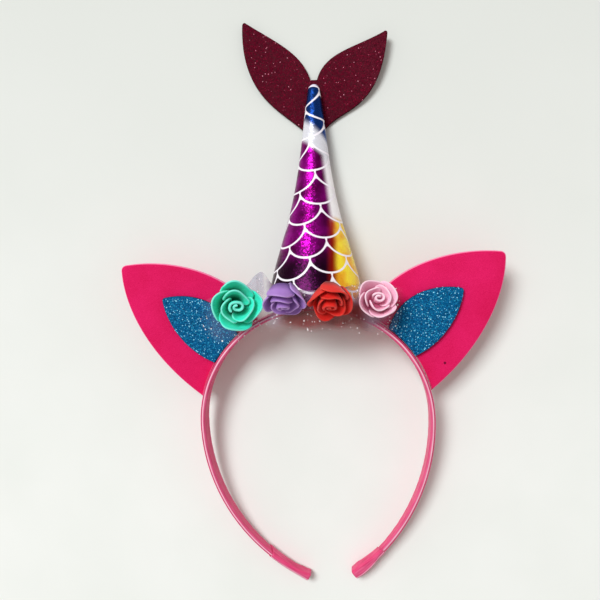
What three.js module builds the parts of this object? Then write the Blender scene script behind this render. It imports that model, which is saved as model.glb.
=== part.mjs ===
// A dress-up crown on a headband: a scaly horn with a fish tail behind its tip, two ears,
// four foam roses and a gathered strip of tulle. It lies on its back, as it is put down.
//
// Millimetres. The crown's own frame has u across it, v up it and w out of its front, with
// the crest of the hoop at (0, 0, 0). The finished part has +X across, +Y towards the tail
// and +Z up from the surface it lies on.
import * as THREE from 'three';

const GAP = 0.3; // between pieces that touch on the real crown

// The hoop: a half circle over the head, with a limb of larger radius sweeping in below it.
const HOOP_RADIUS = 60.6; // outer radius over the head
const HOOP_MIDDLE = 0.7; // u of its middle
const HOOP_DEPTH = { crest: 12, tip: 5 }; // front to back, narrowing down the limbs
const HOOP_THICKNESS = 3;
const HOOP_CHAMFER = 0.7;
const LEFT_LIMB = { radius: 97.5, sweep: 62 }; // outer radius, and degrees swept inwards
const RIGHT_LIMB = { radius: 105.5, sweep: 53.4 };
const STATION_STEP = 6.5; // length of hoop between two sections

// The folded ribbon end glued over each tip of the hoop.
const RIBBON_END_LENGTH = 23;
const RIBBON_END_WALL = 1;

// Ears, as edges of a right ear: each edge is a cubic curve of four points (u, v).
const EAR_THICKNESS = 3;
const EAR_GRID = { rows: 12, columns: 8 }; // along and across
const EAR_EDGES = {
  upper: [[28, -6.5], [36, 16], [68, 27], [95.3, 23.7]],
  lower: [[59.1, -46], [85.5, -25], [97.3, 1], [97.6, 20.6]],
};
const TIP_BULGE = 0.2; // of a rounded tip's chord, for the ears and the tail
const INNER_EAR_THICKNESS = 2;
const INNER_EAR_GRID = { rows: 9, columns: 6 };
const INNER_EAR_EDGES = {
  upper: [[38.5, -13.4], [45, 5], [62, 8.8], [75.4, 6.3]],
  lower: [[51.3, -27.9], [67, -21], [75, -6], [76.3, 4.8]],
};

// The horn: half widths up its length, squashed a little from front to back.
const HORN_PROFILE = [
  { along: 0, halfWidth: 24.6 },
  { along: 10, halfWidth: 23.3 },
  { along: 20, halfWidth: 21.1 },
  { along: 33, halfWidth: 17.5 },
  { along: 49, halfWidth: 13.2 },
  { along: 64, halfWidth: 10.1 },
  { along: 80, halfWidth: 7.7 },
  { along: 94, halfWidth: 6.0 },
  { along: 107, halfWidth: 4.6 },
  { along: 116, halfWidth: 3.3 },
  { along: 120, halfWidth: 1.4 },
];
const HORN_DEPTH_RATIO = 0.75;
const HORN_WALL = 1.8;
const HORN_SIDES = 32;
const HORN_OFFSET = 2.3; // it sits a little to the right of the crest
const HORN_SIDE_LEAN = 1.1; // degrees to the right
const HORN_CLEARANCE = 2.1; // its base's middle to the hoop's crest, along v

// The tail: a forked sheet cut by hand, as edges of its lobes outwards from the notch, whose
// middle is at (0, 0). Each lobe's tip curls up from the flat middle.
const TAIL_THICKNESS = 2;
const TAIL_LOBES = {
  left: {
    inner: [[1.8, 0], [5.5, 15], [21, 22.5], [36, 32.3]],
    outer: [[1.8, -32], [14, -16], [40, -11], [37.4, 31]],
    lift: 2,
  },
  right: {
    inner: [[1.8, 0], [6, 15.4], [26.4, 17.3], [38.6, 22.2]],
    outer: [[1.8, -32], [11, -13], [34.7, -23.8], [39.8, 20.9]],
    lift: 5,
  },
};
const TAIL_POINT = -33.5; // v of its lower point
const TAIL_FLAT = 0.35; // part of a lobe's reach that lies flat
const TAIL_ROWS = 11; // along a lobe
const TAIL_COLUMNS = 6; // across it
const TAIL_NOTCH = [4.5, 120.3]; // u and v of the notch

// A foam rose: rings of petals round a rolled bud, sizes for a rose of size 1.
const PETAL_THICKNESS = 1;
const PETAL_ROWS = 3;
const PETAL_COLUMNS = 6;
const PETAL_STEP = 1.85; // radius between two overlapping petals of a ring
const PETAL_NARROWING = { base: 0.38, rim: 0.28 }; // parts of its span lost there
const PETAL_SIDE_DIP = 0.12; // part of its height lost at its sides
const PETAL_RINGS = [
  { name: 'inner', count: 3, low: 3.6, high: 13, baseRadius: 3.7, rimRadius: 6.2, flare: 0, span: 150 },
  { name: 'outer', count: 4, low: 0, high: 12, baseRadius: 4.6, rimRadius: 9.8, flare: 1, span: 124 },
];
const BUD_PROFILE = [
  { height: 4.6, radius: 1.6 },
  { height: 7, radius: 2.9 },
  { height: 10, radius: 3.8 },
  { height: 12.5, radius: 4.1 },
  { height: 13.8, radius: 3.4 },
];
const BUD_SIDES = 10;
const ROSE_MIDDLE = 6; // height of a rose's middle over its base

// The four roses: where the middle is, which way the face points and how far it is spun.
const ROSES = [
  { name: 'mint', colour: 0x35d6ad, size: 1.07, middle: [-36, 2.5, 16.2], face: [0.26, 0, 0.97], spin: 77 },
  { name: 'lilac', colour: 0xa97bc9, size: 0.9, middle: [-11, 7, 26.6], face: [0, -0.82, 0.57], spin: 95 },
  { name: 'red', colour: 0xd8352c, size: 0.93, middle: [10.7, 6, 27.25], face: [0, -0.7, 0.71], spin: 60 },
  { name: 'pink', colour: 0xee9fbf, size: 0.86, middle: [32.4, 2.6, 15.8], face: [0.2, 0.34, 0.92], spin: 20 },
];

// The tulle: a gathered strip in front of the ears and over the horn's base, with a flap that
// stands up beside the horn. Each row is a section across it.
const TULLE_THICKNESS = 1;
const TULLE_SECTIONS = [
  { u: -57, top: 4, bottom: -11 },
  { u: -46, top: 7, bottom: -19 },
  { u: -34, top: 10, bottom: -16 },
  { u: -24, top: 18, bottom: -12 },
  { u: -15, top: 11, bottom: -11 },
  { u: 2, top: 9, bottom: -12 },
  { u: 18, top: 10, bottom: -12.5 },
  { u: 30, top: 11, bottom: -16 },
  { u: 40, top: 9, bottom: -17 },
  { u: 47, top: 7, bottom: -5 },
];
const TULLE_STEPS = 60;
const TULLE_ROWS = 4;
const TULLE_FRONT = 7.6; // w in front of the ears
const TULLE_OVER_HORN = { halfWidth: 28, halfDepth: 19.9 };
const TULLE_WAVE = { height: 0.5, count: 11 };

const SATIN = { color: 0xdf5b86, roughness: 0.35 };
const VELOUR = { color: 0xf0186e, roughness: 0.9 };
const BLUE_GLITTER = { color: 0x0b6b95, roughness: 0.5 };
const FOIL = { color: 0x7a1a8a, roughness: 0.25, metalness: 0.7 };
const MAROON_GLITTER = { color: 0x7a0f2c, roughness: 0.5 };
const TULLE = { color: 0xe6d6ea, roughness: 0.6 };

const radians = THREE.MathUtils.degToRad;

function piece(name, geometry, finish) {
  const mesh = new THREE.Mesh(geometry, new THREE.MeshStandardMaterial(finish));
  mesh.name = name;
  return mesh;
}

// A closed surface of shared points and triangles, turned so that its faces point out.
function closedSurface(points, triangles) {
  let volume = 0;
  for (const [a, b, c] of triangles) {
    const across = new THREE.Vector3().crossVectors(points[b], points[c]);
    volume += points[a].dot(across);
  }
  const order = volume < 0 ? triangles.map(([a, b, c]) => [a, c, b]) : triangles;
  const geometry = new THREE.BufferGeometry().setFromPoints(points);
  geometry.setIndex(order.flat());
  geometry.computeVertexNormals();
  return geometry;
}

// A skin through rings of equal count, closed by a flat cap at both ends.
function loft(rings) {
  const count = rings[0].length;
  const triangles = [];
  for (let i = 0; i + 1 < rings.length; i += 1) {
    for (let j = 0; j < count; j += 1) {
      const a = i * count + j;
      const b = i * count + (j + 1) % count;
      triangles.push([a, b, b + count], [a, b + count, a + count]);
    }
  }
  const last = (rings.length - 1) * count;
  for (let j = 1; j + 1 < count; j += 1) {
    triangles.push([0, j + 1, j], [last, last + j, last + j + 1]);
  }
  return closedSurface(rings.flat(), triangles);
}

// A sheet of even thickness about a grid of points that lie on its middle surface.
function sheet(grid, thickness) {
  const rows = grid.length;
  const columns = grid[0].length;
  const front = [];
  const back = [];
  for (let i = 0; i < rows; i += 1) {
    for (let j = 0; j < columns; j += 1) {
      const down = grid[Math.min(i + 1, rows - 1)][j].clone().sub(grid[Math.max(i - 1, 0)][j]);
      const along = grid[i][Math.min(j + 1, columns - 1)].clone().sub(grid[i][Math.max(j - 1, 0)]);
      const normal = along.cross(down).normalize().multiplyScalar(thickness / 2);
      front.push(grid[i][j].clone().add(normal));
      back.push(grid[i][j].clone().sub(normal));
    }
  }
  const triangles = [];
  const quad = (a, b, c, d) => triangles.push([a, b, c], [a, c, d]);
  const behind = rows * columns;
  for (let i = 0; i + 1 < rows; i += 1) {
    for (let j = 0; j + 1 < columns; j += 1) {
      const a = i * columns + j;
      quad(a, a + columns, a + columns + 1, a + 1);
      quad(behind + a, behind + a + 1, behind + a + columns + 1, behind + a + columns);
    }
  }
  const rim = [];
  for (let j = 0; j < columns - 1; j += 1) rim.push(j);
  for (let i = 0; i < rows - 1; i += 1) rim.push(i * columns + columns - 1);
  for (let j = columns - 1; j > 0; j -= 1) rim.push((rows - 1) * columns + j);
  for (let i = rows - 1; i > 0; i -= 1) rim.push(i * columns);
  rim.forEach((a, k) => {
    const b = rim[(k + 1) % rim.length];
    quad(a, b, behind + b, behind + a);
  });
  return closedSurface([...front, ...back], triangles);
}

function edgeCurve(points) {
  return new THREE.CubicBezierCurve(...points.map(([u, v]) => new THREE.Vector2(u, v)));
}

// A flat patch between four edges: root and tip run from the upper edge to the lower one.
function patch(upper, lower, root, tip, rows, columns) {
  const grid = [];
  for (let i = 0; i <= rows; i += 1) {
    const s = i / rows;
    const top = upper.getPoint(s);
    const bottom = lower.getPoint(s);
    const line = [];
    for (let j = 0; j <= columns; j += 1) {
      const t = j / columns;
      const rootChord = new THREE.Vector2().lerpVectors(root(0), root(1), t);
      const tipChord = new THREE.Vector2().lerpVectors(tip(0), tip(1), t);
      const point = new THREE.Vector2().lerpVectors(top, bottom, t);
      point.addScaledVector(root(t).sub(rootChord), 1 - s);
      point.addScaledVector(tip(t).sub(tipChord), s);
      line.push(new THREE.Vector3(point.x, point.y, 0));
    }
    grid.push(line);
  }
  return grid;
}

// A curve from a to b that bulges by a part of its length, for a rounded tip.
function bulge(a, b, amount) {
  const out = new THREE.Vector2(b.y - a.y, a.x - b.x);
  return (t) => new THREE.Vector2().lerpVectors(a, b, t).addScaledVector(out, -4 * amount * t * (1 - t));
}

// Stations along the middle line of the hoop, from the left tip over the crest to the right.
function hoopStations() {
  const half = HOOP_THICKNESS / 2;
  const middle = HOOP_RADIUS - half;
  const left = LEFT_LIMB.radius - half;
  const right = RIGHT_LIMB.radius - half;
  const arcs = [
    { centre: left - middle, radius: left, from: Math.PI + radians(LEFT_LIMB.sweep), to: Math.PI },
    { centre: 0, radius: middle, from: Math.PI, to: 0 },
    { centre: middle - right, radius: right, from: 0, to: -radians(RIGHT_LIMB.sweep) },
  ];
  const stations = [];
  for (const { centre, radius, from, to } of arcs) {
    const steps = Math.round(((from - to) * radius) / STATION_STEP);
    for (let i = stations.length ? 1 : 0; i <= steps; i += 1) {
      const angle = from + ((to - from) * i) / steps;
      const out = new THREE.Vector3(Math.cos(angle), Math.sin(angle), 0);
      const at = new THREE.Vector3(HOOP_MIDDLE + centre, -HOOP_RADIUS, 0).addScaledVector(out, radius);
      const limb = angle < 0 ? RIGHT_LIMB : LEFT_LIMB;
      const swept = angle < 0 ? -angle : angle - Math.PI;
      const below = Math.max(swept / radians(limb.sweep), 0);
      const depth = THREE.MathUtils.lerp(HOOP_DEPTH.crest, HOOP_DEPTH.tip, below);
      stations.push({ at, out, depth });
    }
  }
  return stations;
}

// The hoop's chamfered section at a station, grown by an even amount.
function hoopRing({ at, out, depth }, grow) {
  const x = HOOP_THICKNESS / 2 + grow;
  const z = depth / 2 + grow;
  const c = HOOP_CHAMFER;
  const corners = [
    [x, z - c], [x - c, z], [c - x, z], [-x, z - c],
    [-x, c - z], [c - x, -z], [x - c, -z], [x, c - z],
  ];
  return corners.map(([across, w]) => at.clone().addScaledVector(out, across).setZ(w));
}

function headband() {
  return piece('headband', loft(hoopStations().map((station) => hoopRing(station, 0))), SATIN);
}

// A sheath with a closed end: its inside runs back to the mouth, and its outside to the end.
function ribbonEnd(side) {
  const stations = side === 'left' ? hoopStations() : hoopStations().reverse();
  const count = Math.round(RIBBON_END_LENGTH / STATION_STEP) + 1;
  const covered = stations.slice(0, count);
  const [tip, next] = stations;
  const beyond = tip.at.clone().sub(next.at).normalize();
  const moved = (distance) => ({ ...tip, at: tip.at.clone().addScaledVector(beyond, distance) });
  const inside = [moved(GAP), ...covered].map((station) => hoopRing(station, GAP));
  const outward = GAP + RIBBON_END_WALL;
  const outside = [moved(outward), ...covered].map((station) => hoopRing(station, outward));
  return piece(`ribbon_end_${side}`, loft([...inside, ...outside.reverse()]), SATIN);
}

// An ear or inner ear: its root follows the hoop, and its tip is rounded.
function earGrid(edges, hoopMiddle, { rows, columns }) {
  const upper = edgeCurve(edges.upper);
  const lower = edgeCurve(edges.lower);
  const centre = new THREE.Vector2(hoopMiddle, -HOOP_RADIUS);
  const from = upper.getPoint(0).sub(centre).angle();
  const to = lower.getPoint(0).sub(centre).angle();
  const reach = HOOP_RADIUS + GAP;
  const root = (t) => {
    const angle = from + (to - from) * t;
    return new THREE.Vector2(Math.cos(angle), Math.sin(angle)).multiplyScalar(reach).add(centre);
  };
  const onHoop = (curve, t) => new THREE.CubicBezierCurve(root(t), curve.v1, curve.v2, curve.v3);
  const tip = bulge(upper.getPoint(1), lower.getPoint(1), TIP_BULGE);
  return patch(onHoop(upper, 0), onHoop(lower, 1), root, tip, rows, columns);
}

function ears() {
  const group = new THREE.Group();
  const inFront = EAR_THICKNESS / 2 + GAP + INNER_EAR_THICKNESS / 2;
  for (const [side, sign] of [['left', -1], ['right', 1]]) {
    const placed = (edges, size, w) => earGrid(edges, sign * HOOP_MIDDLE, size)
      .map((row) => row.map(({ x, y }) => new THREE.Vector3(sign * x, y, w)));
    const ear = sheet(placed(EAR_EDGES, EAR_GRID, 0), EAR_THICKNESS);
    const inner = sheet(placed(INNER_EAR_EDGES, INNER_EAR_GRID, inFront), INNER_EAR_THICKNESS);
    group.add(piece(`ear_${side}`, ear, VELOUR));
    group.add(piece(`inner_ear_${side}`, inner, BLUE_GLITTER));
  }
  return group;
}

// The horn along its own +Y: a cone with an even wall, open at its base.
function horn() {
  const ring = (halfWidth, along) => {
    const depth = halfWidth * HORN_DEPTH_RATIO;
    const points = [];
    for (let k = 0; k < HORN_SIDES; k += 1) {
      const angle = (2 * Math.PI * k) / HORN_SIDES;
      points.push(new THREE.Vector3(halfWidth * Math.cos(angle), along, depth * Math.sin(angle)));
    }
    return points;
  };
  const outside = HORN_PROFILE.map(({ along, halfWidth }) => ring(halfWidth, along));
  const wide = HORN_PROFILE.filter(({ halfWidth }) => halfWidth > 2 * HORN_WALL);
  const inside = wide.map(({ along, halfWidth }) => ring(halfWidth - HORN_WALL, along));
  return piece('horn', loft([...inside.reverse(), ...outside]), FOIL);
}

// A lobe of the tail, from beside the notch out to its tip.
function tailLobe({ inner, outer, lift }, sign) {
  const innerEdge = edgeCurve(inner);
  const outerEdge = edgeCurve(outer);
  const middle = (t) => new THREE.Vector2().lerpVectors(innerEdge.getPoint(0), outerEdge.getPoint(0), t);
  const tip = bulge(innerEdge.getPoint(1), outerEdge.getPoint(1), TIP_BULGE);
  const span = tip(0.5).x;
  const grid = patch(innerEdge, outerEdge, middle, tip, TAIL_ROWS, TAIL_COLUMNS);
  return grid.map((row) => row.map(({ x, y }) => {
    const curl = Math.max(x / span - TAIL_FLAT, 0) / (1 - TAIL_FLAT);
    return new THREE.Vector3(sign * x, y, TAIL_THICKNESS / 2 + lift * curl * curl);
  }));
}

function tail() {
  const centre = [];
  for (let j = 0; j <= TAIL_COLUMNS; j += 1) {
    centre.push(new THREE.Vector3(0, (TAIL_POINT * j) / TAIL_COLUMNS, TAIL_THICKNESS / 2));
  }
  const grid = [...tailLobe(TAIL_LOBES.left, -1).reverse(), centre, ...tailLobe(TAIL_LOBES.right, 1)];
  return piece('tail_fluke', sheet(grid, TAIL_THICKNESS), MAROON_GLITTER);
}

// One petal of a ring: the radius grows with the angle, so each petal tucks under the next.
function petalGrid(ring, middleAngle) {
  const step = PETAL_STEP / (360 / ring.count);
  const grid = [];
  for (let i = 0; i <= PETAL_ROWS; i += 1) {
    const t = i / PETAL_ROWS;
    const width = 1 - PETAL_NARROWING.base * (1 - t) ** 2 - PETAL_NARROWING.rim * t ** 4;
    const row = [];
    for (let j = 0; j <= PETAL_COLUMNS; j += 1) {
      const side = (2 * j) / PETAL_COLUMNS - 1;
      const turn = 0.5 * side * ring.span * width;
      const rise = t * (1 - PETAL_SIDE_DIP * side * side);
      const bowl = (ring.rimRadius - ring.baseRadius) * Math.sin((rise * Math.PI) / 2);
      const radius = ring.baseRadius + bowl + ring.flare * rise ** 4 + step * turn;
      const angle = radians(middleAngle + turn);
      const height = ring.low + (ring.high - ring.low) * rise;
      row.push(new THREE.Vector3(radius * Math.cos(angle), radius * Math.sin(angle), height));
    }
    grid.push(row);
  }
  return grid;
}

function bud() {
  return loft(BUD_PROFILE.map(({ height, radius }) => {
    const points = [];
    for (let k = 0; k < BUD_SIDES; k += 1) {
      const angle = (2 * Math.PI * k) / BUD_SIDES;
      points.push(new THREE.Vector3(radius * Math.cos(angle), radius * Math.sin(angle), height));
    }
    return points;
  }));
}

function rose({ name, colour, size, middle, face, spin }) {
  const group = new THREE.Group();
  const foam = { color: colour, roughness: 0.75 };
  group.add(piece(`rose_${name}_bud`, bud(), foam));
  for (const ring of PETAL_RINGS) {
    for (let k = 0; k < ring.count; k += 1) {
      const grid = petalGrid(ring, spin + (360 * k) / ring.count);
      const petal = sheet(grid, PETAL_THICKNESS / size);
      group.add(piece(`rose_${name}_${ring.name}_${k + 1}`, petal, foam));
    }
  }
  const axis = new THREE.Vector3(...face).normalize();
  group.quaternion.setFromUnitVectors(new THREE.Vector3(0, 0, 1), axis);
  group.position.set(...middle).addScaledVector(axis, -ROSE_MIDDLE * size);
  group.scale.setScalar(size);
  return group;
}

// The tulle: a smooth strip through its sections, standing out where it passes over the horn.
function tulle() {
  const edge = (side) => {
    const points = TULLE_SECTIONS.map((row) => new THREE.Vector2(row.u, row[side]));
    return new THREE.SplineCurve(points);
  };
  const top = edge('top');
  const bottom = edge('bottom');
  const grid = [];
  for (let i = 0; i <= TULLE_STEPS; i += 1) {
    const t = i / TULLE_STEPS;
    const high = top.getPoint(t);
    const low = bottom.getPoint(t);
    const ellipse = 1 - ((high.x - HORN_OFFSET) / TULLE_OVER_HORN.halfWidth) ** 2;
    const overHorn = TULLE_OVER_HORN.halfDepth * Math.sqrt(Math.max(ellipse, 0));
    const wave = TULLE_WAVE.height * Math.sin(2 * Math.PI * TULLE_WAVE.count * t);
    const row = [];
    for (let j = 0; j <= TULLE_ROWS; j += 1) {
      const point = new THREE.Vector2().lerpVectors(high, low, j / TULLE_ROWS);
      row.push(new THREE.Vector3(point.x, point.y, Math.max(overHorn, TULLE_FRONT) + wave));
    }
    grid.push(row);
  }
  return piece('tulle_ruffle', sheet(grid, TULLE_THICKNESS), TULLE);
}

// Lowers a group until it touches the surface.
function restOnSurface(group) {
  group.position.z -= new THREE.Box3().setFromObject(group, true).min.z;
}

// How it lies: on the tips of the hoop, the back of the horn's base and the tail.
const hornBackDepth = HORN_PROFILE[0].halfWidth * HORN_DEPTH_RATIO;
const endBackDepth = HOOP_DEPTH.tip / 2 + GAP + RIBBON_END_WALL;
const tipDrop = -new THREE.Box3().setFromObject(ribbonEnd('left')).min.y;
const hoopTilt = Math.asin((hornBackDepth - endBackDepth) / tipDrop);
const hornTip = HORN_PROFILE.at(-2);
const hornDrop = hornBackDepth - hornTip.halfWidth * HORN_DEPTH_RATIO - TAIL_THICKNESS - GAP;
const hornTilt = Math.asin(hornDrop / hornTip.along);

const hoop = new THREE.Group();
hoop.rotation.x = hoopTilt;
hoop.position.z = hornBackDepth;
hoop.add(headband(), ribbonEnd('left'), ribbonEnd('right'), ears(), tulle());
hoop.add(...ROSES.map(rose));

const hornGroup = new THREE.Group();
hornGroup.rotation.set(-hornTilt, 0, -radians(HORN_SIDE_LEAN));
hornGroup.position.set(HORN_OFFSET, -HORN_CLEARANCE, hornBackDepth);
hornGroup.add(horn());

const tailGroup = new THREE.Group();
tailGroup.position.set(...TAIL_NOTCH, 0);
tailGroup.add(tail());

// The origin is under the middle of the whole crown, on the surface it lies on.
const crown = new THREE.Group();
crown.add(hoop, hornGroup, tailGroup);
crown.children.forEach(restOnSurface);
const middle = new THREE.Box3().setFromObject(crown, true).getCenter(new THREE.Vector3()).setZ(0);
crown.children.forEach((child) => child.position.sub(middle));

export default crown;
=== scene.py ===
import math
from functools import partial

import bpy
import numpy as np
from mathutils import Matrix, Vector
from mathutils.geometry import delaunay_2d_cdt


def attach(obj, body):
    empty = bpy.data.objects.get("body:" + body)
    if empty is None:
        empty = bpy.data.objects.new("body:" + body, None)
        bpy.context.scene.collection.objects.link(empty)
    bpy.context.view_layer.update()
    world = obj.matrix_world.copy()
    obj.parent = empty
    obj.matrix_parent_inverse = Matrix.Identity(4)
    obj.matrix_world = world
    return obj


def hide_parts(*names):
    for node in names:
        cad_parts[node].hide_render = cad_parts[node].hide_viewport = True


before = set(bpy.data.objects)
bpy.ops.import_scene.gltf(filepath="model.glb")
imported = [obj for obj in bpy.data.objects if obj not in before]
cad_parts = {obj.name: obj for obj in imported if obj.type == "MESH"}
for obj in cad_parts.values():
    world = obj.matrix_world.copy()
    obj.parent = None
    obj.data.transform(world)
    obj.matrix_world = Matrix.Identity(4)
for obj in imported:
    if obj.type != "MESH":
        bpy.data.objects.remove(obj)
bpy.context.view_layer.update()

# The stage: a plain pale floor under the crown, one soft lamp from the upper left and an even
# fill. The camera is nearly straight above, where the crown is seen lying on its back.
MM = 0.001
CAMERA_PLACE = Vector((18, 0.72, 340)) * MM
CAMERA_TARGET = Vector((-7, 0.22, 0)) * MM
CAMERA_ROLL = -0.034  # radians
CAMERA_LENS = 37.78  # on a sensor 36 mm wide
LAMP = {"direction": (-0.36, 0.4, 0.84), "distance": 5.0, "size": 2.0, "power": 200.0,
        "colour": (0.95, 1.01, 1.02)}
FILL = {"side": (0.62, 0.59, 0.57, 1.0), "overhead": (0.34, 0.32, 0.31, 1.0)}
FLOOR_SIZE = 2.4
FLOOR_DROP = 0.05 * MM  # keeps the floor just clear of what rests on it
# Painted shade on the floor: the cloth is darkened towards the tail, as if less light fell there.
FLOOR_PAINTED_SHADE = {"From Min": -0.1, "From Max": 0.2}  # towards the tail

scene = bpy.context.scene
scene.view_settings.view_transform = "Standard"


def add_object(name, data):
    made = bpy.data.objects.new(name, data)
    scene.collection.objects.link(made)
    return made


look = (CAMERA_TARGET - CAMERA_PLACE).normalized()
level = look.cross(Vector((0, 1, 0))).normalized()
camera_axes = Matrix((level, level.cross(look), -look)).transposed().to_4x4()
camera = add_object("camera", bpy.data.cameras.new("camera"))
camera.data.lens = CAMERA_LENS
camera.matrix_world = Matrix.Translation(CAMERA_PLACE) @ camera_axes @ Matrix.Rotation(CAMERA_ROLL, 4, "Z")
scene.camera = camera

lamp = add_object("lamp", bpy.data.lights.new("lamp", "AREA"))
lamp.data.size = LAMP["size"]
lamp.data.energy = LAMP["power"]
lamp.data.color = LAMP["colour"]
lamp_place = Vector(LAMP["direction"]).normalized() * LAMP["distance"]
lamp.matrix_world = Matrix.Translation(lamp_place) @ lamp_place.to_track_quat("Z", "Y").to_matrix().to_4x4()


def tint(value):
    """A colour code as a shader's linear values. Any other value is kept."""
    if not isinstance(value, str):
        return value
    parts = [int(value[i:i + 2], 16) / 255 for i in (0, 2, 4)]
    return [p / 12.92 if p <= 0.04045 else ((p + 0.055) / 1.055) ** 2.4 for p in parts] + [1.0]


def join(node, outputs):
    """Joins outputs to a node's inputs."""
    for name, output in outputs.items():
        node.id_data.links.new(output, node.inputs[name])


def add_node(kind, inputs, tree=None, **settings):
    """A node in a tree, or in the tree of the outputs that it is joined to."""
    joined = {name: value for name, value in inputs.items() if isinstance(value, bpy.types.NodeSocket)}
    tree = tree or next(iter(joined.values())).id_data
    made = tree.nodes.new(kind)
    for name, value in settings.items():
        setattr(made, name, value)
    for name, value in inputs.items():
        if name not in joined:
            made.inputs[name].default_value = value
    join(made, joined)
    return made


def new_finish(name, even):
    """A material with even values set on its shader, with its tree and its shader."""
    material = bpy.data.materials.new(name)
    material.use_nodes = True
    shader = material.node_tree.nodes["Principled BSDF"]
    for socket, value in even.items():
        shader.inputs[socket].default_value = tint(value)
    return material, material.node_tree, shader


def own_place(tree, output="Object"):
    return add_node("ShaderNodeTexCoord", {}, tree).outputs[output]


def axis_of(vector, axis):
    return add_node("ShaderNodeSeparateXYZ", {0: vector}).outputs[axis]


def cloud(place, scale, detail=2.0):
    """Soft random patches from 0 to 1, scale of them to a unit of place."""
    inputs = {"Vector": place, "Scale": scale, "Detail": detail}
    return add_node("ShaderNodeTexNoise", inputs).outputs["Fac"]


def ramp(value, stops):
    """Colours along a value from 0 to 1."""
    made = add_node("ShaderNodeValToRGB", {"Fac": value})
    elements = made.color_ramp.elements
    while len(elements) < len(stops):
        elements.new(0.5)
    for element, (position, colour) in zip(elements, stops):
        element.position = position
        element.color = tint(colour)
    return made.outputs["Color"]


def mixed(share, first, second):
    """The first colour, with a share of the second."""
    inputs = {0: share, 6: tint(first), 7: tint(second)}
    return add_node("ShaderNodeMix", inputs, data_type="RGBA").outputs[2]


scene.world = bpy.data.worlds.new("fill")
scene.world.use_nodes = True
tree = scene.world.node_tree
upward = axis_of(own_place(tree, "Generated"), "Z")
fill = ramp(upward, [(0.0, FILL["side"]), (1.0, FILL["overhead"])])
join(tree.nodes["Background"], {"Color": fill})

floor_finish, tree, shader = new_finish("floor_cloth", {"Roughness": 0.9, "Specular IOR Level": 0.2})
place = own_place(tree)
patches = ramp(cloud(place, 14, 3), [(0.3, "ecede8"), (0.7, "f2f2ee")])
# Painted shade: the floor cloth darkens towards the tail.
shaded = add_node("ShaderNodeMapRange", {"Value": axis_of(place, "Y"), **FLOOR_PAINTED_SHADE})
join(shader, {"Base Color": mixed(shaded.outputs["Result"], patches, "dcddd8")})
floor_mesh = bpy.data.meshes.new("floor")
half = FLOOR_SIZE / 2
corners = [(-half, -half), (half, -half), (half, half), (-half, half)]
floor_mesh.from_pydata([(x, y, -FLOOR_DROP) for x, y in corners], [], [(0, 1, 2, 3)])
floor_mesh.materials.append(floor_finish)
floor = add_object("floor", floor_mesh)

# The headband: a springy plastic hoop wound in pink satin ribbon. The ribbon runs down its
# length, and its lapped edge along the outer shoulder of the front is a small step with a painted
# shadow line beside a painted highlight line.
HOOP_TILT = 0.098825  # radians; the crest stands on the horn's base, and the tips lie down
HOOP_CREST = Vector((0, -2.277, 18.371))
HOOP_RADIUS = 60.6
HOOP_MIDDLE = 0.7
HOOP_DEPTH = {"crest": 12.0, "tip": 5.0}
HOOP_THICKNESS = 3.0
LEFT_LIMB = {"radius": 97.5, "sweep": math.radians(62)}
RIGHT_LIMB = {"radius": 105.5, "sweep": math.radians(53.4)}
BAND_STATIONS = 280
BAND_CORNER = {"radius": 1.1, "steps": 7}
BAND_SIDE_STEPS = {"front": 2, "face": 6}
BAND_CROWN = 0.3  # how far the ribbon's face stands above its edges
LAP = 0.35  # the step at the ribbon's lapped edge
PUCKER = {"height": 0.09, "length": 5.5, "sway": 2.0, "sway_length": 17.0}
# Painted light round the section: a shadow line at the lap, a highlight line on the front, a stronger pink
# inner face.
SATIN = {  # where its zones begin and end, from the lapped edge round the section
    "lap": (0.4, 0.15), "painted_glint": (0.3, 0.65), "painted_glint_end": (1.35, 0.9), "face": (2.0, 2.8),
}
THREADS = (0.1, 2.6, 1.0)  # how fine they are along the ribbon and across it

hoop_place = Matrix.Translation(HOOP_CREST) @ Matrix.Rotation(HOOP_TILT, 4, "X")
hoop_middle_radius = HOOP_RADIUS - HOOP_THICKNESS / 2
left_radius = LEFT_LIMB["radius"] - HOOP_THICKNESS / 2
right_radius = RIGHT_LIMB["radius"] - HOOP_THICKNESS / 2
left_length = left_radius * LEFT_LIMB["sweep"]
crest_length = hoop_middle_radius * math.pi
right_length = right_radius * RIGHT_LIMB["sweep"]
hoop_length = left_length + crest_length + right_length


def hoop_at(distance):
    """The hoop's middle line at a distance from its left tip: place, outward way and depth."""
    on_left = left_length - distance
    on_right = distance - left_length - crest_length
    if on_left > 0:
        radius, centre, below = left_radius, left_radius - hoop_middle_radius, on_left / left_length
        angle = math.pi + on_left / radius
    elif on_right > 0:
        radius, centre, below = right_radius, hoop_middle_radius - right_radius, on_right / right_length
        angle = -on_right / radius
    else:
        radius, centre, below = hoop_middle_radius, 0.0, 0.0
        angle = math.pi + on_left / radius
    out = np.array([math.cos(angle), math.sin(angle), 0.0])
    place = np.array([HOOP_MIDDLE + centre, -HOOP_RADIUS, 0.0]) + radius * out
    depth = HOOP_DEPTH["crest"] + (HOOP_DEPTH["tip"] - HOOP_DEPTH["crest"]) * below
    return place, out, depth


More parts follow.
